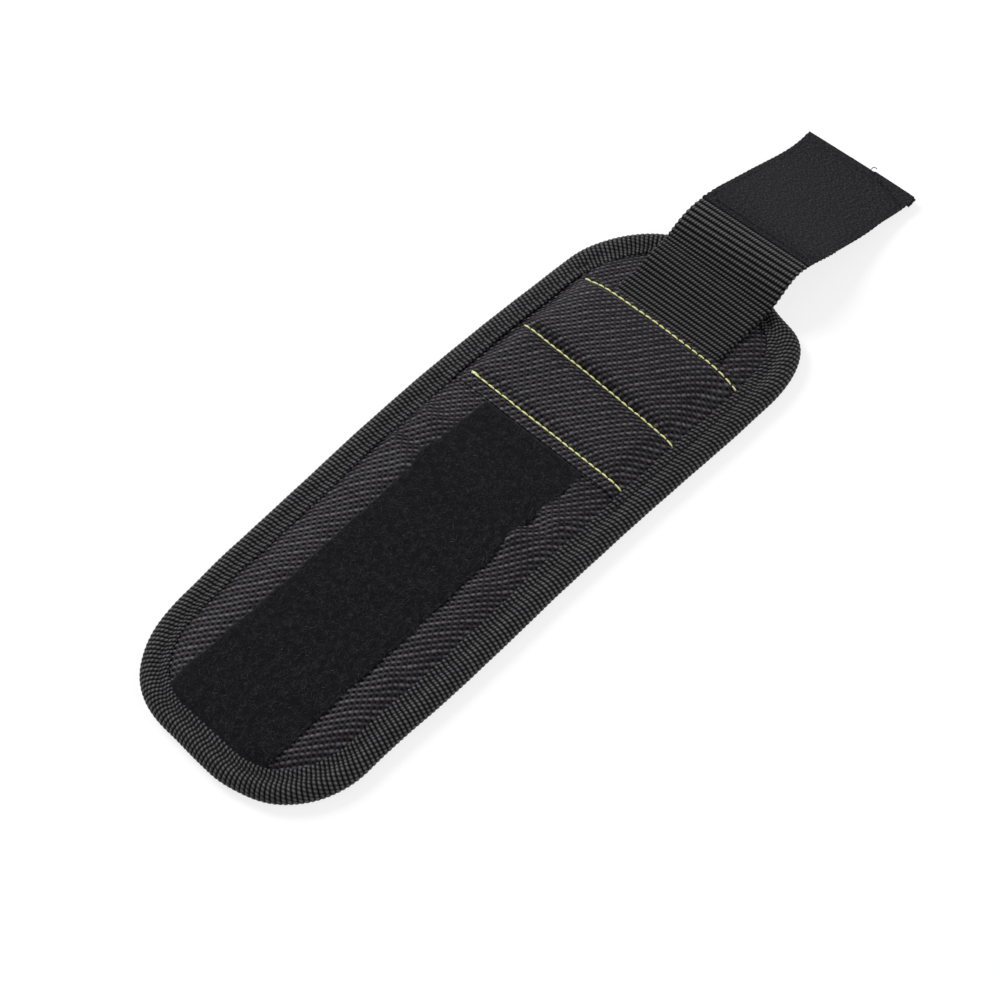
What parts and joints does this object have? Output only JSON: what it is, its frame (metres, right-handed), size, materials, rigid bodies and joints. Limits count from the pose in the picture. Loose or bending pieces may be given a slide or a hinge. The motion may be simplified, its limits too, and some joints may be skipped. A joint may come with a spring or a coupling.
{
  "type": "wrist tool pouch",
  "caption": "Padded wrist band with two stitched magnet channels, a loop patch and a webbing strap with a hook tab that closes it round a wrist.",
  "frame": {"origin": "middle of the wrist face, half way along the padded band, on the plane that the band lies on", "axes": "+X along the band towards the strap, +Y to the band's left, +Z out of the face that holds the channels"},
  "size_m": [0.253, 0.075, 0.0135],
  "materials": {
    "nylon": "basket-woven ballistic nylon, matt",
    "lining": "brushed knit lining, matt",
    "foam": "open-cell foam, matt",
    "binding_tape": "ribbed woven edge tape, matt",
    "loop_pile": "soft looped pile, very matt",
    "magnet_steel": "plated magnet bar",
    "yellow_thread": "bonded thread, slight sheen",
    "webbing": "ribbed polyester webbing, slight sheen",
    "hook_tape": "moulded hooks on woven tape",
    "cover_tape": "smooth closely woven tape, matt"
  },
  "bodies": {
    "free_end": {"back_lining_1": "lining", "foam_pad_1": "foam", "front_cloth_1": "nylon", "binding_free_end": "binding_tape", "loop_patch_1": "loop_pile"},
    "wrist_1": {"back_lining_2": "lining", "foam_pad_2": "foam", "front_cloth_2": "nylon", "binding_left_2": "binding_tape", "binding_right_2": "binding_tape", "loop_patch_2": "loop_pile"},
    "wrist_2": {"back_lining_3": "lining", "foam_pad_3": "foam", "front_cloth_3": "nylon", "binding_left_3": "binding_tape", "binding_right_3": "binding_tape", "loop_patch_3": "loop_pile"},
    "middle": {"back_lining_4": "lining", "foam_pad_4": "foam", "front_cloth_4": "nylon", "binding_left_4": "binding_tape", "binding_right_4": "binding_tape", "loop_patch_4": "loop_pile"},
    "lower_channel": {"back_lining_5": "lining", "foam_pad_5": "foam", "front_cloth_5": "nylon", "binding_left_5": "binding_tape", "binding_right_5": "binding_tape", "panel_lower_channel": "nylon", "magnet_lower": "magnet_steel", "seam_lower": "yellow_thread"},
    "upper_channel": {"back_lining_6": "lining", "foam_pad_6": "foam", "front_cloth_6": "nylon", "binding_left_6": "binding_tape", "binding_right_6": "binding_tape", "panel_upper_channel": "nylon", "magnet_upper": "magnet_steel", "seam_middle": "yellow_thread", "seam_upper": "yellow_thread", "webbing_root": "webbing"},
    "strap_end": {"back_lining_7": "lining", "foam_pad_7": "foam", "front_cloth_7": "nylon", "binding_strap_end": "binding_tape"},
    "strap_base": {"webbing_base": "webbing"},
    "strap_span": {"webbing_span": "webbing"},
    "tab": {"webbing_lap": "webbing", "hook_tape": "hook_tape", "tab_cover": "cover_tape"}
  },
  "joints": [
    {"name": "band_curl", "type": "hinge", "parent": "middle", "child": "wrist_2", "pos_m": [-0.008, 0, 0], "axis": [0, -1, 0], "range_deg": [0, 53], "stiffness_Nm_per_rad": 0.25},
    {"name": "curl_wrist_1", "type": "hinge", "parent": "wrist_2", "child": "wrist_1", "pos_m": [-0.038, 0, 0], "axis": [0, -1, 0], "range_deg": [0, 53.01], "stiffness_Nm_per_rad": 0.25},
    {"name": "curl_free_end", "type": "hinge", "parent": "wrist_1", "child": "free_end", "pos_m": [-0.068, 0, 0], "axis": [0, -1, 0], "range_deg": [0, 54.6], "stiffness_Nm_per_rad": 0.25},
    {"name": "curl_lower_channel", "type": "hinge", "parent": "middle", "child": "lower_channel", "pos_m": [0.022, 0, 0], "axis": [0, 1, 0], "range_deg": [0, 44], "stiffness_Nm_per_rad": 0.25},
    {"name": "curl_upper_channel", "type": "hinge", "parent": "lower_channel", "child": "upper_channel", "pos_m": [0.0422, 0, 0], "axis": [0, 1, 0], "range_deg": [0, 47.71], "stiffness_Nm_per_rad": 0.25},
    {"name": "curl_strap_end", "type": "hinge", "parent": "upper_channel", "child": "strap_end", "pos_m": [0.076, 0, 0], "axis": [0, 1, 0], "range_deg": [0, 50.89], "stiffness_Nm_per_rad": 0.25},
    {"name": "strap_lift", "type": "hinge", "parent": "upper_channel", "child": "strap_base", "pos_m": [0.072, 0, 0.0086], "axis": [0, -1, 0], "range_deg": [0, 140], "stiffness_Nm_per_rad": 0.08},
    {"name": "strap_bend", "type": "hinge", "parent": "strap_base", "child": "strap_span", "pos_m": [0.08, 0, 0.0059], "axis": [0, 1, 0], "range_deg": [0, 51.95], "stiffness_Nm_per_rad": 0.03},
    {"name": "tab_bend", "type": "hinge", "parent": "strap_span", "child": "tab", "pos_m": [0.108, 0, 0.01165], "axis": [0, 1, 0], "range_deg": [0, 34.99], "stiffness_Nm_per_rad": 0.05}
  ],
  "couplings": [
    {"joint": "curl_free_end", "follows": "band_curl", "ratio": 1.03},
    {"joint": "curl_wrist_1", "follows": "band_curl", "ratio": 1},
    {"joint": "curl_lower_channel", "follows": "band_curl", "ratio": 0.83},
    {"joint": "curl_upper_channel", "follows": "band_curl", "ratio": 0.9},
    {"joint": "curl_strap_end", "follows": "band_curl", "ratio": 0.96},
    {"joint": "strap_bend", "follows": "band_curl", "ratio": 0.98},
    {"joint": "tab_bend", "follows": "band_curl", "ratio": 0.66}
  ]
}
